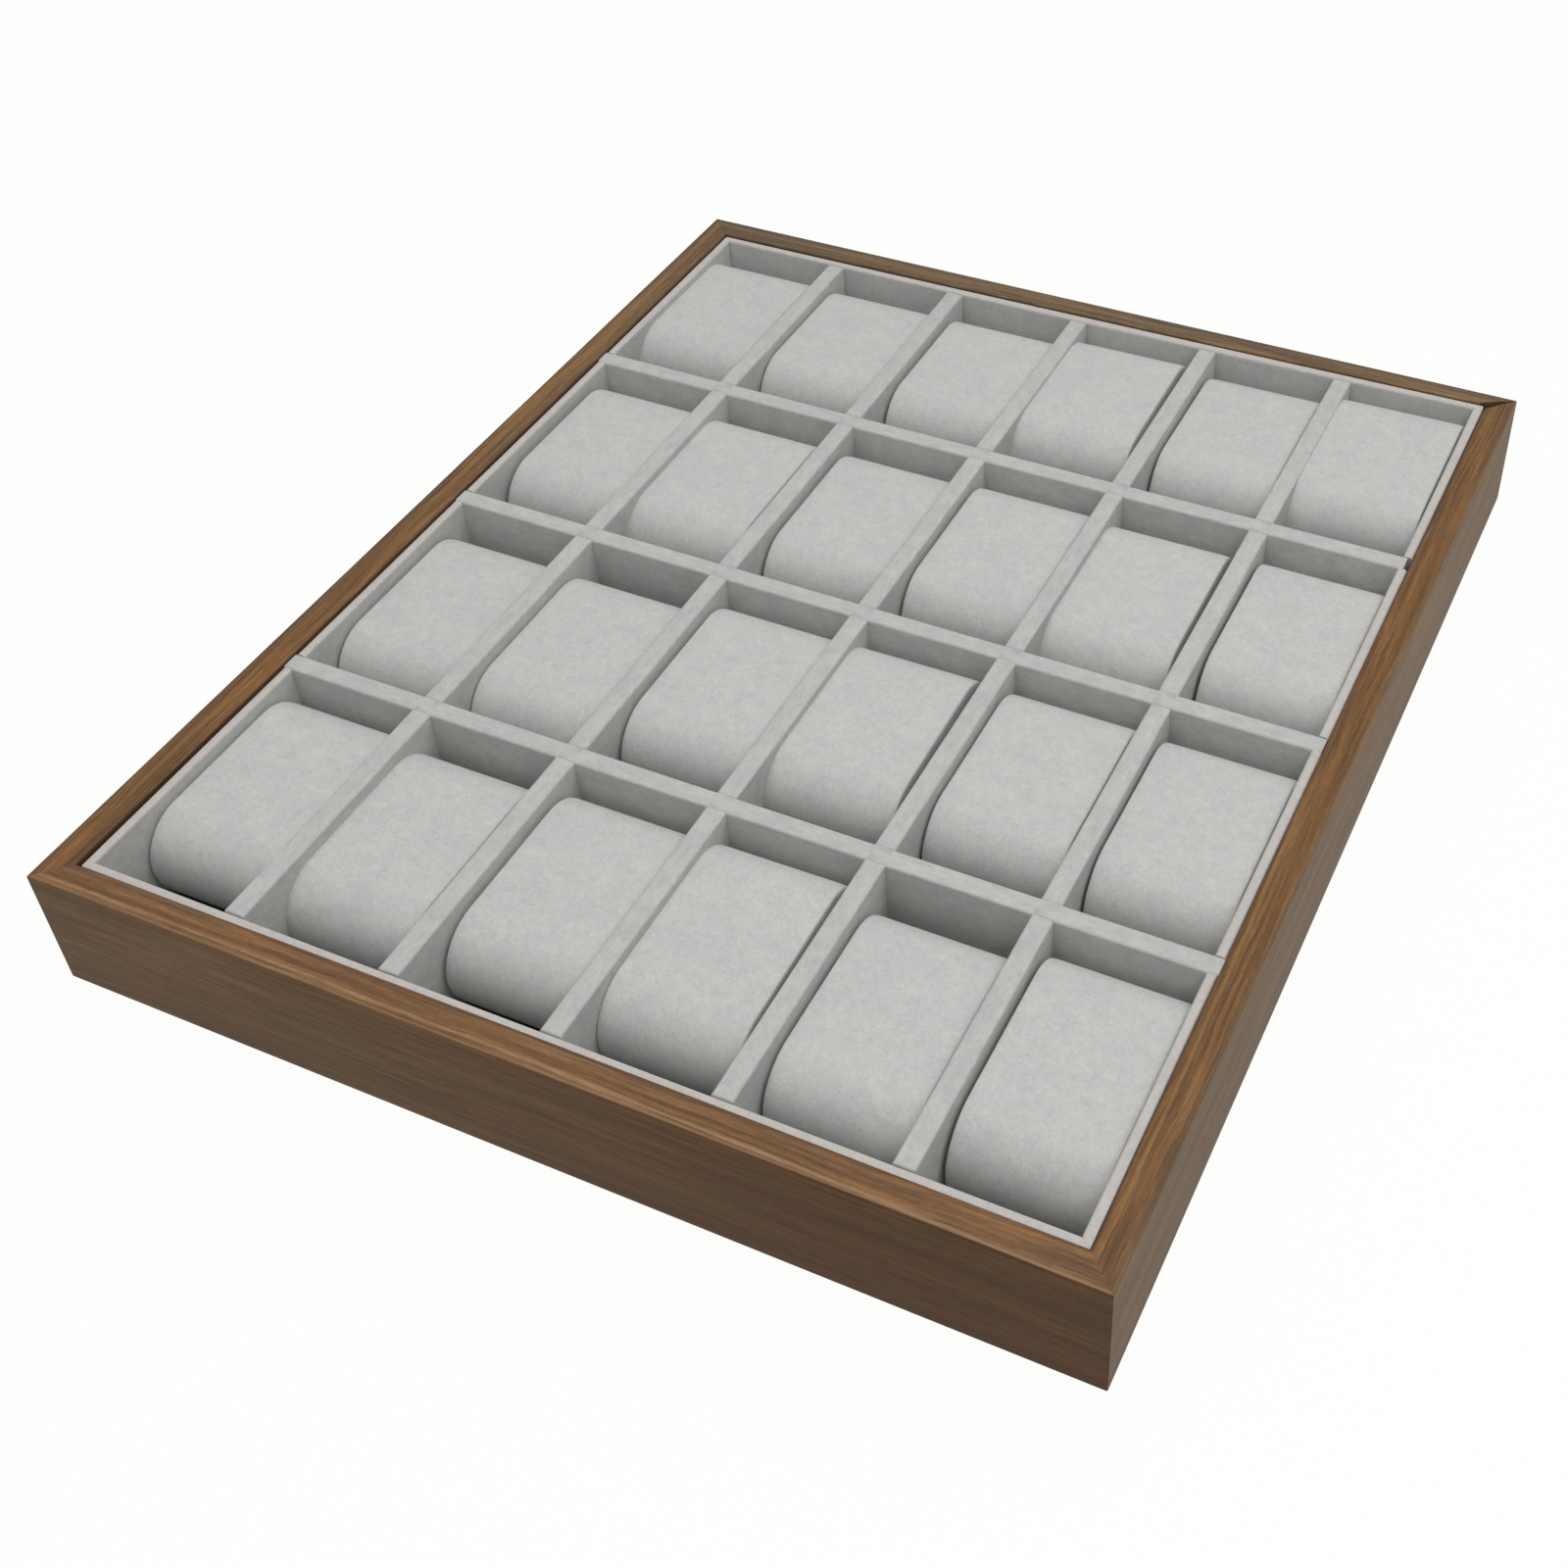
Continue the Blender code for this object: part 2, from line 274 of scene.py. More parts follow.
    # Painted shade: the inner face of the rail below its rim, down in the narrow gap beside the lining,
    # is darkened nearly to black.
    inside = finish.band(drop, 0.35, 0.8) * finish.band(depth, 5.0, 6.0)
    colour = finish.blend(inside * 0.62, colour, (0.034, 0.016, 0.009))
    height = fine * 0.4 + fibre * 0.3 + (1.0 - pore) * 0.3
    bump = finish.node(
        "ShaderNodeBump", None, {"Strength": 0.25, "Distance": 0.0002, "Height": height}
    )
    finish.surface(
        {"IOR": 1.3, "Specular IOR Level": 0.5, "Metallic": 0.0},
        {"Base Color": colour, "Roughness": 0.62 + relief * 0.15 + pore * 0.1, "Normal": bump},
    )
    return finish.material


def put_down():
    """Leaves edit mode and lets go of everything."""
    if bpy.context.object and bpy.context.object.mode != "OBJECT":
        bpy.ops.object.mode_set(mode="OBJECT")
    bpy.ops.object.select_all(action="DESELECT")


def take_up(piece, mode):
    """Makes one piece the only one that operators act on."""
    put_down()
    piece.select_set(True)
    bpy.context.view_layer.objects.active = piece
    bpy.ops.object.mode_set(mode=mode)


def start_block(name, low, high):
    """A cube primitive that fills the box between two corners, all of it in the mesh."""
    put_down()
    low, high = Vector(low), Vector(high)
    bpy.ops.mesh.primitive_cube_add(size=1.0, location=(low + high) / 2, scale=high - low)
    bpy.ops.object.transform_apply(location=True, rotation=True, scale=True)
    piece = bpy.context.object
    piece.name = name
    piece.data.name = name
    return piece


def pick_edges(piece, wanted):
    """In edit mode, selects the edges whose two ends pass the test."""
    bpy.ops.mesh.select_mode(type="EDGE")
    bpy.ops.mesh.select_all(action="DESELECT")
    shape = bmesh.from_edit_mesh(piece.data)
    for edge in shape.edges:
        if wanted(edge.verts[0].co, edge.verts[1].co):
            edge.select_set(True)
    bmesh.update_edit_mesh(piece.data)


def saw(corner, normal):
    """In edit mode, cuts off what lies beyond a plane and closes the cut."""
    bpy.ops.mesh.select_all(action="SELECT")
    bpy.ops.mesh.bisect(plane_co=corner, plane_no=normal, use_fill=True, clear_outer=True)


ARRIS = 0.0007
MITRE_GAP = 0.00002
near = 1e-5
STATIONS = (-0.14, -0.1, -0.05, 0.0, 0.05, 0.1, 0.14)
FRONT_BOW = 0.0009
RIGHT_BOW = 0.0005
BACK_BOW = (-0.0001, 0.0030)


def inner_bow(side, place):
    """How far the inner face of the right or back rail stands in from its drawn line."""
    if side == "right":
        return RIGHT_BOW * (1 - (place / cad_box[1][1]) ** 4)
    share = (place / cad_box[1][0] + 1) / 2
    return BACK_BOW[0] - BACK_BOW[1] * share ** 1.5


def cut_across(axis, places):
    """In edit mode, cuts the faces across at some places along an axis."""
    for place in places:
        middle = Vector((0, 0, 0))
        middle[axis] = place
        normal = Vector((0, 0, 0))
        normal[axis] = 1
        bpy.ops.mesh.select_all(action="SELECT")
        bpy.ops.mesh.bisect(plane_co=middle, plane_no=normal)


# Arris lines: a tan painted highlight, and near-black painted shade.
painted_highlight_arris = (0.30, (0.300, 0.190, 0.110))
painted_shade_arris = (0.60, (0.050, 0.040, 0.032))
rail_looks = {
    "front": {
        "streaks": [
            (175.0, (2.9, 0.006, -0.00005, 185.0, 250.0), 0.9, 0.72, (0.330, 0.205, 0.115)),
            (175.0, (8.0, -0.002, 0.0, 175.0, 260.0), 0.9, 0.25, (0.270, 0.155, 0.080)),
            (190.0, (5.7, 0.0, -0.00008, 215.0, 250.0), 1.4, 0.62, (0.110, 0.052, 0.022)),
        ],
        # Painted shade: the front outer face is darkened, most at its right end.
        "outer_tint_with_painted_light": ((0.61, 0.475, 0.30), (0.92, 0.87, 0.70)),
        "top_tint": ((0.95, 0.93, 0.87), (0.88, 0.86, 0.80)),
        "inner_arris_painted_shade": 0.55,
        "arris": painted_highlight_arris,
    },
    "right": {
        "streaks": [
            (61.0, (7.6, 0.004, 0.00012, 90.0, 110.0), 0.8, 0.65, (0.330, 0.185, 0.072)),
            (171.0, (8.4, -0.004, 0.0, 171.0, 34.0), 0.8, 0.45, (0.290, 0.170, 0.075)),
            (211.0, (3.0, 0.0, 0.0, 215.0, 160.0), 2.2, 0.55, (0.125, 0.060, 0.020)),
            (211.0, (5.6, 0.0, 0.0, 190.0, 150.0), 1.0, 0.30, (0.130, 0.065, 0.018)),
        ],
        # Painted reflection: the right outer face is tinted lighter and greyer, most at its back end.
        "outer_tint_with_painted_light": ((0.98, 1.01, 0.92), (1.12, 1.20, 1.10)),
        "top_tint": ((0.85, 0.81, 0.68), (0.80, 0.75, 0.56)),
        "inner_arris_painted_shade": 0.35,
        "arris": (0.25, (0.110, 0.084, 0.060)),
    },
    "back": {
        "streaks": [
            (175.0, (4.9, 0.003, 0.0, 135.0, 150.0), 0.8, 0.30, (0.230, 0.165, 0.100)),
            (175.0, (2.2, 0.0, 0.0, 175.0, 260.0), 1.4, 0.40, (0.100, 0.082, 0.060)),
        ],
        "outer_tint_with_painted_light": ((0.90, 0.90, 0.90), (0.90, 0.90, 0.90)),
        "top_tint": ((0.69, 0.83, 0.93), (0.82, 0.96, 1.04)),
        "inner_arris_painted_shade": 0.15,
        "arris": painted_shade_arris,
    },
    "left": {
        "streaks": [
            (171.0, (4.8, -0.002, 0.0, 171.0, 140.0), 1.4, 0.30, (0.250, 0.150, 0.066)),
            (350.0, (2.4, 0.0, 0.0, 360.0, 170.0), 1.5, 0.50, (0.098, 0.062, 0.034)),
            (270.0, (7.2, 0.0, 0.0, 272.0, 75.0), 1.5, 0.40, (0.112, 0.060, 0.026)),
        ],
        "outer_tint_with_painted_light": ((0.90, 0.90, 0.90), (0.90, 0.90, 0.90)),
        "top_tint": ((0.83, 0.90, 0.86), (0.89, 0.83, 0.63)),
        "inner_arris_painted_shade": 0.35,
        "arris": painted_shade_arris,
    },
}
for side, seed in (("front", 2.0), ("right", 2.0), ("back", 34.0), ("left", 34.0)):
    node = side + "_rail"
    low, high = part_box(node)
    rail = start_block("walnut_" + node, low, high)
    lengthwise = 0 if side in ("front", "back") else 1
    crosswise = 1 - lengthwise
    outer = low[crosswise] if side in ("front", "left") else high[crosswise]
    facing = 1 if side in ("front", "left") else -1
    bpy.ops.object.mode_set(mode="EDIT")
    for end in (-1, 1):
        corner = Vector((0, 0, 0))
        corner[lengthwise] = end * (cad_box[1][lengthwise] - MITRE_GAP)
        corner[crosswise] = outer
        normal = Vector((0, 0, 0))
        normal[lengthwise] = end
        normal[crosswise] = facing
        saw(corner, normal.normalized())
    if side == "front":
        cut_across(0, STATIONS)
        for vert in bmesh.from_edit_mesh(rail.data).verts:
            u = (vert.co.x / cad_box[1][0] + 1) / 2
            inward = 0.3 + 0.7 * (vert.co.y > high.y - near)
            vert.co.y += FRONT_BOW * 4 * u * (1 - u) * inward * vert.co.z / high.z
        bmesh.update_edit_mesh(rail.data)

    def long_top_edge(a, b, axis=lengthwise, top=high.z):
        level = abs(a.z - top) < near and abs(b.z - top) < near
        return level and abs(b[axis] - a[axis]) > 0.012

    pick_edges(rail, long_top_edge)
    bpy.ops.mesh.bevel(offset=ARRIS, segments=4, affect="EDGES")
    if side in ("right", "back"):
        cut_across(lengthwise, STATIONS)
        for vert in bmesh.from_edit_mesh(rail.data).verts:
            if abs(vert.co[crosswise] - outer) > 0.005:
                place = vert.co[lengthwise]
                bow = inner_bow(side, place)
                vert.co[crosswise] += facing * bow
                if abs(place) > STATIONS[-1] + near:
                    vert.co[lengthwise] -= math.copysign(bow, place)
        bmesh.update_edit_mesh(rail.data)
    bpy.ops.object.mode_set(mode="OBJECT")
    bpy.ops.object.shade_smooth_by_angle(angle=math.radians(35))
    rail.data.materials.append(walnut(side, seed, rail_looks[side]))
    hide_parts(node)
    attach(rail, "root")


# Base panel: a sheet of brown fibreboard let into the rails from below, with the smooth
# side outwards. It carries no feet.
fibre = Finish("fibreboard panel")
whole, x, y, z = fibre.place()
blotch = fibre.noise(whole, 24.0, 3.0, 0.6)
fleck = fibre.noise(whole, 900.0, 2.0, 0.6)
fibre_colour = fibre.blend(
    fibre.band(blotch * 0.6 + fleck * 0.4, 0.35, 0.65),
    (0.085, 0.048, 0.028),
    (0.135, 0.082, 0.050),
)
fibre_bump = fibre.node(
    "ShaderNodeBump", None, {"Strength": 0.3, "Distance": 0.0001, "Height": fleck}
)
fibre.surface(
    {"Metallic": 0.0},
    {"Base Color": fibre_colour, "Roughness": 0.55 + fleck * 0.2, "Normal": fibre_bump},
)
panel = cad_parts["base_panel"]
panel.data.materials.clear()
panel.data.materials.append(fibre.material)


# Floor lining: card covered in felt, dropped in over the base before the lattice. The felt's near-black
# grey is partly its own colour and partly painted shade that darkens the deep gaps between the pads.
# The rest of the inside is wrapped in light grey microfibre.
def microfibre(name, cool, warm, stretch=(1.0, 1.0, 1.0), rim=None):
    """Brushed microfibre: faint cool and warm patches, a short nap that lies this way and
    that, and a soft sheen. A stretch below 1 draws the nap out along that axis."""
    finish = Finish(name)
    whole, x, y, z = finish.place()
    drawn = finish.node(
        "ShaderNodeVectorMath", {"operation": "MULTIPLY"}, {0: whole, 1: stretch}
    )
    broad = finish.noise(whole, 45.0, 2.0, 0.5)
    patch = finish.noise(whole, 150.0, 2.0, 0.6)
    cloud = finish.noise(drawn, 420.0, 2.0, 0.6, 0.6)
    hair = finish.noise(drawn, 1300.0, 2.0, 0.6)
    shade = 1.0 + (broad - 0.5) * 0.06 + (patch - 0.5) * 0.12
    shade = shade + (cloud - 0.5) * 0.26 + (hair - 0.5) * 0.34
    colour = finish.blend(finish.band(patch * 0.7 + broad * 0.3, 0.40, 0.60), cool, warm)
    if rim:
        level, tint = rim
        colour = finish.blend(finish.band(z, level - 0.0016, level - 0.0006), colour, tint)
    grey = finish.node("ShaderNodeCombineColor", None, {0: shade, 1: shade, 2: shade})
    colour = finish.blend(1.0, colour, grey, "MULTIPLY")
    relief = finish.node(
        "ShaderNodeBump",
        None,
        {"Strength": 0.45, "Distance": 0.0003, "Height": hair * 0.5 + cloud * 0.5},
    )
    finish.surface(
        {"Metallic": 0.0, "Specular IOR Level": 0.15, "Sheen Weight": 0.08},
        {"Base Color": colour, "Roughness": 0.90 + (hair - 0.5) * 0.1, "Normal": relief},
    )
    return finish.material


lining_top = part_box("front_liner")[1].z
board_cloth = microfibre(
    "microfibre on lining boards",
    (0.420, 0.425, 0.420),
    (0.435, 0.437, 0.410),
    rim=(lining_top, (0.465, 0.440, 0.412)),
)
floor_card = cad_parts["floor_lining"]
floor_card.data.materials.clear()
# The felt's near-black colour is partly painted shade for the gaps between the pads.
floor_card.data.materials.append(
    microfibre("felt on the floor card with painted shade", (0.050, 0.052, 0.055), (0.060, 0.058, 0.054))
)


# Lining boards: thin card boards wrapped in microfibre, mitred at the corners, standing in
# the frame a millimetre below its rim. The two at the sides are slotted from above for the
# row dividers.
FOLD = 0.0010


def carve(piece, cutters):
    """Takes a set of blocks out of the piece, and removes them."""
    take_up(piece, "OBJECT")
    for cutter in cutters:
        cut = piece.modifiers.new("cut", "BOOLEAN")
        cut.operation = "DIFFERENCE"
        cut.solver = "EXACT"
        cut.object = cutter
        bpy.ops.object.modifier_apply(modifier=cut.name)
        bpy.data.objects.remove(cutter, do_unlink=True)


def wrap_edges(piece, radius, segments, wanted):
    """Rounds edges, where the cloth is folded over the board."""
    take_up(piece, "EDIT")
    pick_edges(piece, wanted)
    bpy.ops.mesh.bevel(offset=radius, segments=segments, affect="EDGES")
    bpy.ops.object.mode_set(mode="OBJECT")
    bpy.ops.object.shade_smooth_by_angle(angle=math.radians(40))


row_boxes = [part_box(f"row_divider_{k}") for k in (1, 2, 3)]
column_boxes = [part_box(f"column_divider_{k}") for k in (1, 2, 3, 4, 5)]
SLOT_PLAY = 0.00004
END_PLAY = 0.0001
lattice_bottom = row_boxes[0][0].z
lattice_top = row_boxes[0][1].z
halving = (lattice_bottom + lattice_top) / 2
liner_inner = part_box("left_liner")[1].x
THINNED = {"front": 0.0, "right": -0.0004, "back": 0.0009, "left": 0.0003}
BACK_GAP = 0.0002
FAN = 0.0015
BOW = 0.0011
BACK_SKEW = (-0.0005, 0.0048)
LIFTS = (-0.0004, 0.0002, 0.0007)


def settling(place):
    """How far the lattice sits out of true in the frame at one place: its dividers fan out
    in front, and it lies low in front at the left and high behind at the right."""
    u = (place.x / cad_box[1][0] + 1) / 2
    v = (place.y / cad_box[1][1] + 1) / 2
    fan = FAN * 4 * u * (1 - u) * (0.75 - v)
    skew = v ** 12 * (BACK_SKEW[0] + BACK_SKEW[1] * u ** 3)
    lift = (LIFTS[0] + LIFTS[1] * u + LIFTS[2] * v) * place.z / lattice_top
    return Vector((fan, BOW * 4 * v * (1 - v) * (1 - u) + skew, lift))


def settle(mesh):
    for vert in mesh.vertices:
        vert.co += settling(vert.co)


def outward(side, place):
    """How much further out than drawn a lining board's outer face stands."""
    if side == "back":
        rail_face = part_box("back_rail")[0].y
        wanted = rail_face - inner_bow("back", place.x) - BACK_GAP
        return wanted - place.y - settling(place).y
    if side == "left" and place.y > -0.15:
        return 0.0005
    return 0.0


for side in ("front", "right", "back", "left"):
    node = side + "_liner"
    low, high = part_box(node)
    lengthwise = 0 if side in ("front", "back") else 1
    crosswise = 1 - lengthwise
    facing = 1 if side in ("front", "left") else -1
    if facing > 0:
        inner, outer = high[crosswise], low[crosswise]
        high[crosswise] -= THINNED[side]
    else:
        inner, outer = low[crosswise], high[crosswise]
        low[crosswise] += THINNED[side]
    reach = abs(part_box(("left" if lengthwise == 0 else "front") + "_liner")[1][lengthwise])
    liner = start_block("cloth_" + node, low, high)
    take_up(liner, "EDIT")
    for end in (-1, 1):
        corner = Vector((0, 0, 0))
        corner[lengthwise] = end * (reach - MITRE_GAP)
        corner[crosswise] = inner
        normal = Vector((0, 0, 0))
        normal[lengthwise] = end
        normal[crosswise] = facing
        saw(corner, normal.normalized())
    if side == "back":
        cut_across(0, STATIONS)
    put_down()
    blocks = []
    if lengthwise == 1:
        for row_low, row_high in row_boxes:
            blocks.append(start_block(
                "seat",
                (low.x - 0.002, row_low.y - SLOT_PLAY, halving - SLOT_PLAY),
                (high.x + 0.002, row_high.y + SLOT_PLAY, high.z + 0.01),
            ))
        carve(liner, blocks)
    for vert in liner.data.vertices:
        if abs(vert.co[crosswise] - outer) < near:
            vert.co[crosswise] -= facing * outward(side, vert.co)

    def long_top(a, b, axis=lengthwise, top=high.z):
        level = abs(a.z - top) < near and abs(b.z - top) < near
        return level and abs(b[axis] - a[axis]) > 0.005

    wrap_edges(liner, FOLD, 4, long_top)
    settle(liner.data)
    liner.data.materials.append(board_cloth)
    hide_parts(node)
    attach(liner, "root")


# Row dividers: three boards wrapped in microfibre. Slots from below fit over the column
# dividers, and a tongue at each end lies in the slot of the side lining.
DIVIDER_FOLD = 0.0009
TONGUE_REACH = ((0.0008, 0.0004), (0.0006, 0.0), (0.0007, -0.0014))
row_cloth = microfibre(
    "microfibre on row dividers",
    (0.424, 0.430, 0.422),
    (0.440, 0.442, 0.416),
    stretch=(0.35, 1.0, 1.0),
)
for number, (low, high) in enumerate(row_boxes, start=1):
    low.x -= TONGUE_REACH[number - 1][0]
    high.x += TONGUE_REACH[number - 1][1]
    divider = start_block(f"cloth_row_divider_{number}", low, high)
    blocks = []
    for column_low, column_high in column_boxes:
        blocks.append(start_block(
            "slot",
            (column_low.x - SLOT_PLAY, low.y - 0.002, low.z - 0.01),
            (column_high.x + SLOT_PLAY, high.y + 0.002, halving + SLOT_PLAY),
        ))
    for end, lining in ((-1, "left"), (1, "right")):
        inner_face = abs(liner_inner) + THINNED[lining] - END_PLAY
        edges = sorted((end * inner_face, end * (high.x + 0.02)))
        blocks.append(start_block(
            "notch",
            (edges[0], low.y - 0.002, low.z - 0.01),
            (edges[1], high.y + 0.002, halving),
        ))
    carve(divider, blocks)
    take_up(divider, "EDIT")
    for column_low, column_high in column_boxes:
        for place in (column_low.x, column_high.x):
            bpy.ops.mesh.select_all(action="SELECT")
            bpy.ops.mesh.bisect(plane_co=(place, 0, 0), plane_no=(1, 0, 0))

    def free_top_edge(a, b, top=high.z):
        level = abs(a.z - top) < near and abs(b.z - top) < near
        middle = (a.x + b.x) / 2
        crossed = any(c_low.x < middle < c_high.x for c_low, c_high in column_boxes)
        return level and abs(b.x - a.x) > near and not crossed

    wrap_edges(divider, DIVIDER_FOLD, 4, free_top_edge)
    settle(divider.data)
    divider.data.materials.append(row_cloth)
    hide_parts(f"row_divider_{number}")
    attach(divider, "root")


# Column dividers: five boards of the same make, butted against the front and the back
# lining. Slots from above take the row dividers. Two pieces of the fifth sit a little low,
# with rounded ends.
SUNK = 0.00035
column_cloth = microfibre(
    "microfibre on column dividers",
    (0.424, 0.430, 0.422),
    (0.440, 0.442, 0.416),
    stretch=(1.0, 0.35, 1.0),
)
for number, (low, high) in enumerate(column_boxes, start=1):
    low.y -= THINNED["front"]
    high.y += THINNED["back"]
    divider = start_block(f"cloth_column_divider_{number}", low, high)
    blocks = []
    for row_low, row_high in row_boxes:
        blocks.append(start_block(
            "slot",
            (low.x - 0.002, row_low.y - SLOT_PLAY, halving - SLOT_PLAY),
            (high.x + 0.002, row_high.y + SLOT_PLAY, high.z + 0.01),
        ))
    carve(divider, blocks)
    sunk_ends = [row_boxes[0][1].y, row_boxes[1][1].y] if number == 5 else []
    if sunk_ends:
        take_up(divider, "EDIT")
        bpy.ops.mesh.select_mode(type="VERT")
        bpy.ops.mesh.select_all(action="DESELECT")
        shape = bmesh.from_edit_mesh(divider.data)
        for vert in shape.verts:
            behind_first = row_boxes[0][1].y - near < vert.co.y < row_boxes[2][0].y
            if abs(vert.co.z - high.z) < near and behind_first:
                vert.select_set(True)
        shape.select_flush(True)
        bmesh.update_edit_mesh(divider.data)
        bpy.ops.transform.translate(value=(0, 0, -SUNK))

    def wrapped_edge(a, b, top=high.z, ends=(low.y, high.y), sunk=tuple(sunk_ends)):
        if min(a.z, b.z) < top - SUNK - near:
            return False
        if abs(b.y - a.y) > near:
            return True
        return any(abs(a.y - place) < 0.0002 for place in (*ends, *sunk))

    wrap_edges(divider, DIVIDER_FOLD, 4, wrapped_edge)
    settle(divider.data)
    divider.data.materials.append(column_cloth)
    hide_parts(f"column_divider_{number}")
    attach(divider, "root")


# Cushions: twenty four foam pads in sewn microfibre covers. A band runs over the top, round
# both noses and under the pad, and is sewn along its two rims to the flat side panels. The
# foam fills the cover, so the band is crowned between its seams.
pad_cloth = microfibre("microfibre on cushions", (0.466, 0.469, 0.463), (0.473, 0.473, 0.454))
low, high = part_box("cushion_row1_column1")
pad_size = high - low
RIM = 0.0011
NOSE = 0.97
SEAM = 0.0006
SEAM_DEPTH = 0.00015
MOST_SWELL = 0.0022
CROWN_ROOM = 0.0007
fits = {
    "loose": (4.0, Vector((0.0004, -0.0010, -0.0008))),
    "full": (5.0, Vector((0.0006, -0.0008, -0.0006))),
    "wide": (5.0, Vector((0.0026, -0.0006, 0.0000))),
    "long": (5.0, Vector((0.0006, 0.0016, -0.0002))),
    "broad": (5.0, Vector((0.0024, 0.0012, 0.0))),
}


def sew_pad(name, pressure, ease):
    """One pad around the origin: a block with round noses, swelled by the foam."""
    half = (pad_size + ease) / 2
    sewn = start_block(name, -half, half)
    take_up(sewn, "EDIT")
    pick_edges(sewn, lambda a, b: abs(a.x - b.x) > 0.01)
    bpy.ops.mesh.bevel(offset=half.z * NOSE, segments=14, affect="EDGES")
    pick_edges(
        sewn, lambda a, b: abs(a.x - b.x) < near and abs(abs(a.x) - half.x) < near
    )
    bpy.ops.mesh.bevel(offset=RIM, segments=3, affect="EDGES")
    cuts = [(0, (half.x - RIM - SEAM) * (2 * k / 14 - 1)) for k in range(15)]
    cuts += [(1, (half.y - half.z * NOSE) * (2 * k / 16 - 1)) for k in range(1, 16)]
    for axis, place in cuts:
        middle = Vector((0, 0, 0))
        middle[axis] = place
        normal = Vector((0, 0, 0))
        normal[axis] = 1
        bpy.ops.mesh.select_all(action="SELECT")
        bpy.ops.mesh.bisect(plane_co=middle, plane_no=normal)
    bpy.ops.object.mode_set(mode="OBJECT")
    mesh = sewn.data
    start = [vert.co.copy() for vert in mesh.vertices]
    held = sewn.vertex_groups.new(name="seams")
    held.add(
        [v.index for v in mesh.vertices if abs(v.co.x) > half.x - RIM - near],
        1.0,
        "REPLACE",
    )
    cloth = sewn.modifiers.new("swell", "CLOTH")
    cloth.settings.quality = 6
    cloth.settings.mass = 0.2
    cloth.settings.tension_stiffness = 20.0
    cloth.settings.compression_stiffness = 20.0
    cloth.settings.shear_stiffness = 8.0
    cloth.settings.bending_stiffness = 1.0
    cloth.settings.use_pressure = True
    cloth.settings.uniform_pressure_force = pressure
    cloth.settings.vertex_group_mass = "seams"
    cloth.settings.effector_weights.gravity = 0.0
    cloth.collision_settings.use_collision = False
    cloth.point_cache.frame_start = 1
    cloth.point_cache.frame_end = 20
    for step in range(1, 21):
        bpy.context.scene.frame_set(step)
    swelled = sewn.evaluated_get(bpy.context.evaluated_depsgraph_get())
    ends = [vert.co.copy() for vert in swelled.data.vertices]
    sewn.modifiers.remove(cloth)
    bpy.context.scene.frame_set(1)
    for vert, first, last in zip(mesh.vertices, start, ends):
        move = last - first
        if move.length > MOST_SWELL:
            move *= MOST_SWELL / move.length
        vert.co = first + move
    for vert in mesh.vertices:
        if abs(abs(vert.co.x) - half.x + RIM) < near:
            vert.co -= vert.normal * SEAM_DEPTH
        vert.co.z = max(vert.co.z, -half.z)
        vert.co.z = min(vert.co.z, half.z + CROWN_ROOM)
        longest = max(half.y, pad_size.y / 2)
        vert.co.y = max(-longest, min(longest, vert.co.y))
    mesh.transform(Matrix.Translation((0, 0, half.z - pad_size.z / 2)))
    smooth = sewn.modifiers.new("smooth", "SUBSURF")
    smooth.levels = smooth.render_levels = 1
    bpy.ops.object.modifier_apply(modifier=smooth.name)
    bpy.ops.object.shade_smooth()
    mesh = sewn.data
    mesh.materials.append(pad_cloth)
    return sewn


pads = {fit: sew_pad("sewn_pad_" + fit, *fits[fit]) for fit in fits}
laid = {
    (1, 1): ("full", 0.0, (-0.4, -0.8, 0.0)),
    (1, 2): ("loose", 0.0, (-1.6, -0.7, -0.5)),
    (1, 3): ("full", 0.0, (-0.9, -0.9, 0.0)),
    (1, 4): ("long", 0.5, (-1.0, -1.5, 0.4)),
    (1, 5): ("full", 0.0, (-1.1, -0.5, -0.4)),
    (1, 6): ("long", 0.0, (-0.4, -1.8, -0.1)),
    (2, 1): ("full", 0.0, (-0.8, -0.3, -0.6)),
    (2, 2): ("loose", 0.0, (-1.0, 0.0, -0.3)),
    (2, 3): ("full", 0.0, (-0.3, 0.0, 0.3)),
    (2, 4): ("full", 0.5, (-1.0, 0.2, 1.0)),
    (2, 5): ("full", 0.0, (-0.4, 0.0, 0.2)),
    (2, 6): ("full", 0.0, (-0.6, 0.0, 0.1)),
    (3, 2): ("wide", 0.0, (-1.2, -0.6, 0.0)),
    (3, 4): ("full", 0.0, (0.0, 0.0, 0.3)),
    (3, 5): ("wide", 0.3, (-1.3, -0.6, 0.0)),
    (3, 6): ("full", 0.0, (-0.1, 0.0, 0.3)),
    (4, 1): ("wide", 0.0, (-1.0, -0.6, 0.1)),
    (4, 2): ("full", 0.0, (0.3, 0.0, 0.5)),
    (4, 3): ("full", 0.0, (0.2, 0.0, 0.4)),
    (4, 4): ("broad", 0.5, (-1.2, 0.1, 1.6)),
    (4, 5): ("full", 0.0, (0.0, 0.2, 0.0)),
    (4, 6): ("broad", 0.0, (0.2, 0.6, 2.6)),
}
for row in (1, 2, 3, 4):
    for column in (1, 2, 3, 4, 5, 6):
        node = f"cushion_row{row}_column{column}"
        low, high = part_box(node)
        fit, turn, shift = laid.get((row, column), ("full", 0.0, (0.0, 0.0, 0.0)))
        cushion = bpy.data.objects.new("pad_" + node, pads[fit].data.copy())
        bpy.context.scene.collection.objects.link(cushion)
        cushion.data.transform(
            Matrix.Translation((low + high) / 2 + Vector(shift) / 1000)
            @ Matrix.Rotation(math.radians(turn), 4, "Z")
        )
        settle(cushion.data)
        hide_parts(node)
        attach(cushion, "root")
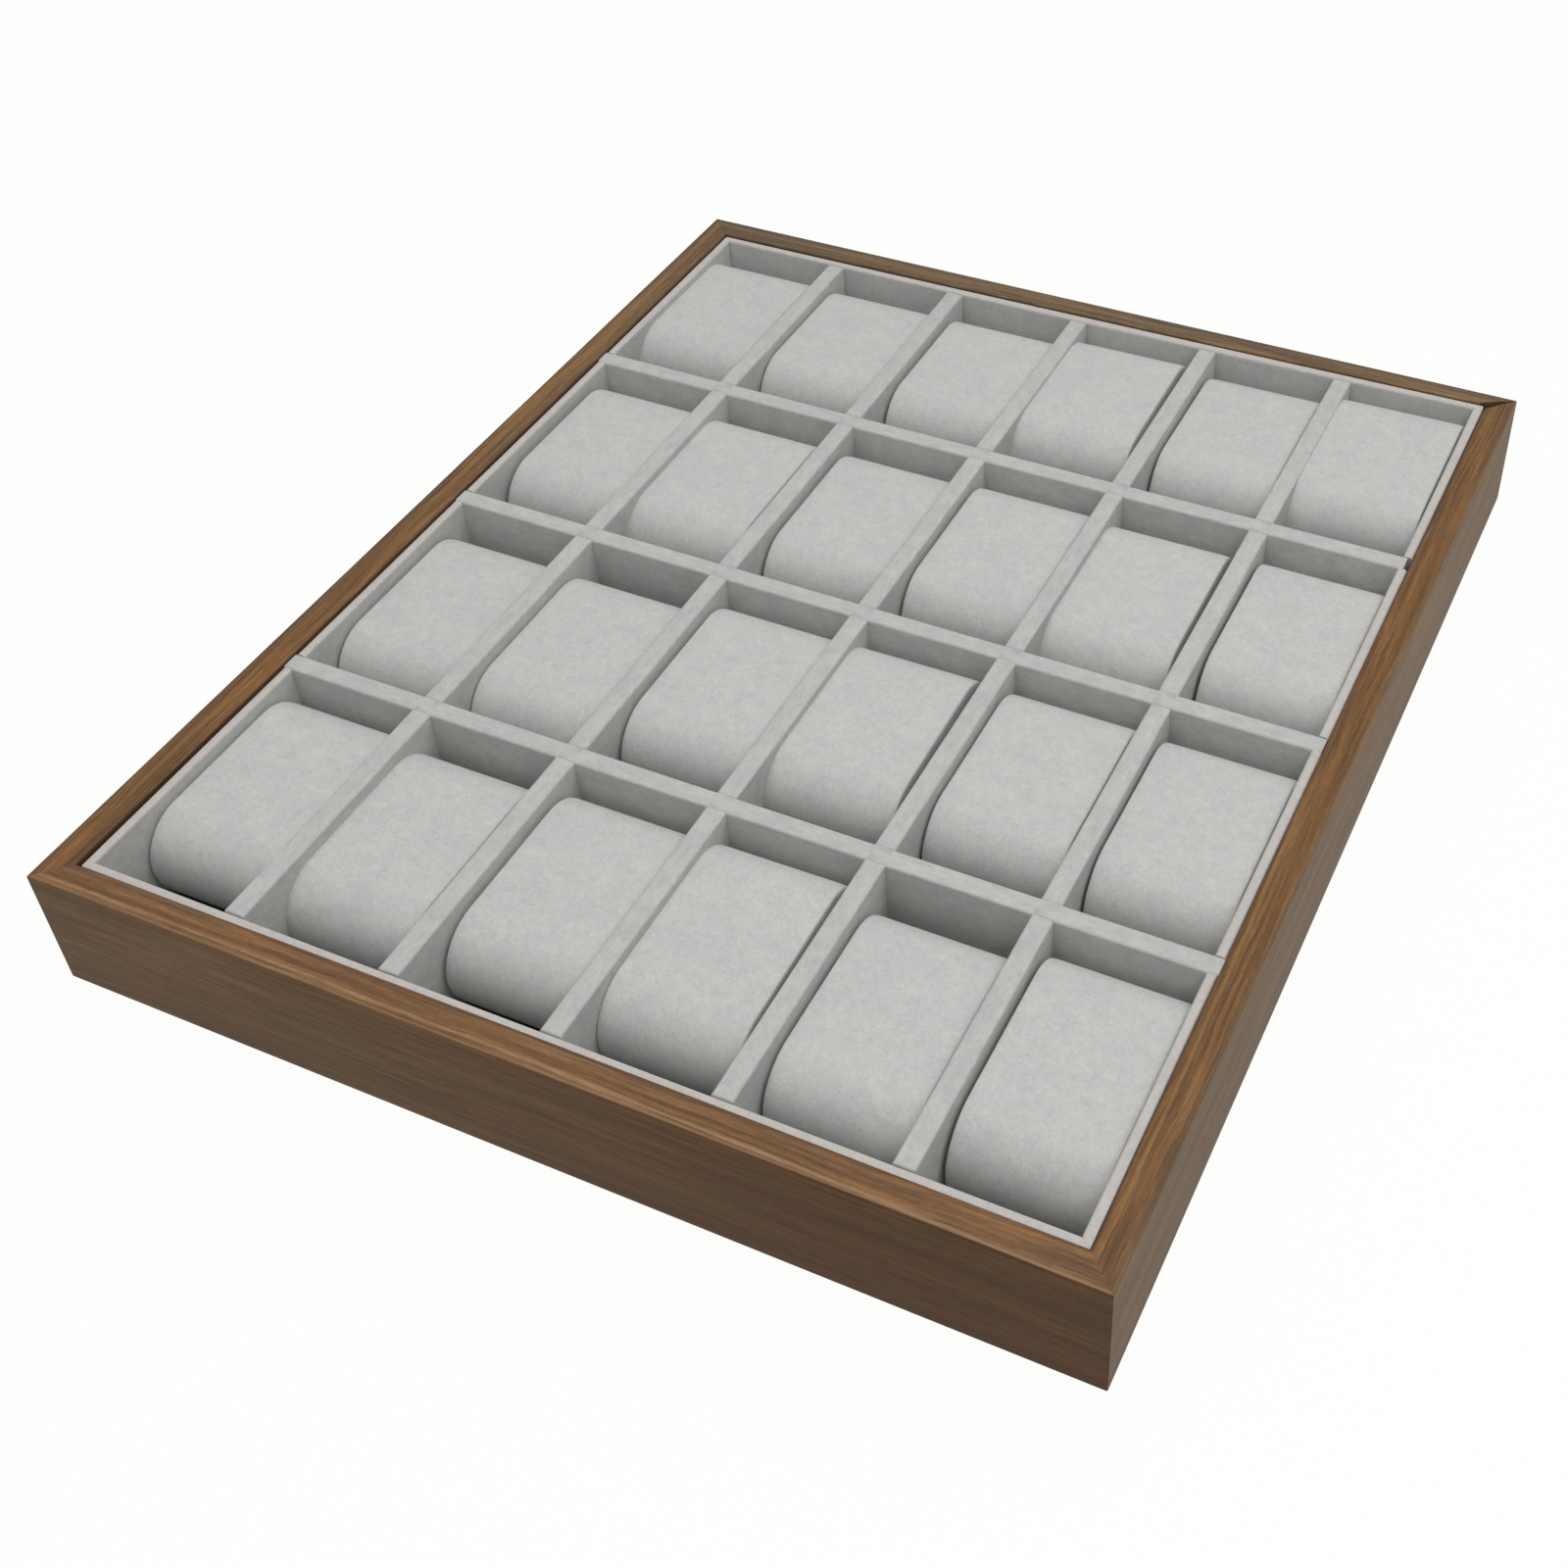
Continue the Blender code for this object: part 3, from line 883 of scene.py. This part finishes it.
for pad in pads.values():
    bpy.data.objects.remove(pad, do_unlink=True)


# Studio: a white floor that keeps a faint shadow, even white surroundings and one large
# soft lamp above the tray.
put_down()
bpy.ops.mesh.primitive_plane_add(size=12.0, location=(0, 0, -0.0003))
floor = bpy.context.object
floor.name = "studio_floor"
paper = Finish("white floor")
rays = paper.tree.nodes.new("ShaderNodeLightPath")
seen = [Level(paper, rays.outputs[k]) for k in ("Is Camera Ray", "Is Glossy Ray", "Is Transmission Ray")]
shown = seen[0].math("MAXIMUM", seen[1]).math("MAXIMUM", seen[2])
paper.surface({"Base Color": (0.80, 0.80, 0.80), "Roughness": 1.0, "Specular IOR Level": 0.0}, {})
glow = paper.node("ShaderNodeEmission", None, {"Color": (1.0, 1.0, 0.995), "Strength": 1.0})
both = paper.node(
    "ShaderNodeMixShader",
    None,
    {0: shown * 0.96, 1: Level(paper, paper.shader.outputs[0]), 2: glow},
)
paper.feed(paper.tree.nodes["Material Output"].inputs["Surface"], both)
floor.data.materials.append(paper.material)

world = bpy.data.worlds.new("white room")
bpy.context.scene.world = world
world.use_nodes = True
sky = world.node_tree
sky_rays = sky.nodes.new("ShaderNodeLightPath")
sky_seen = sky.nodes.new("ShaderNodeMath")
sky_seen.operation = "MAXIMUM"
sky.links.new(sky_rays.outputs["Is Camera Ray"], sky_seen.inputs[0])
sky.links.new(sky_rays.outputs["Is Glossy Ray"], sky_seen.inputs[1])
sky_strength = sky.nodes.new("ShaderNodeMapRange")
sky_strength.inputs["To Min"].default_value = 0.39
sky_strength.inputs["To Max"].default_value = 1.0
sky.links.new(sky_seen.outputs[0], sky_strength.inputs["Value"])
sky.nodes["Background"].inputs["Color"].default_value = (1.0, 1.0, 1.0, 1.0)
sky.links.new(sky_strength.outputs[0], sky.nodes["Background"].inputs["Strength"])

lamp_data = bpy.data.lights.new("soft box", "AREA")
lamp_data.shape = "SQUARE"
lamp_data.size = 1.6
lamp_data.energy = 18.3
lamp = bpy.data.objects.new("soft box", lamp_data)
bpy.context.scene.collection.objects.link(lamp)
lamp.location = (0.28, -0.08, 1.30)
lamp.rotation_euler = (-lamp.location).to_track_quat("-Z", "Y").to_euler()

bpy.context.scene.view_settings.view_transform = "Standard"
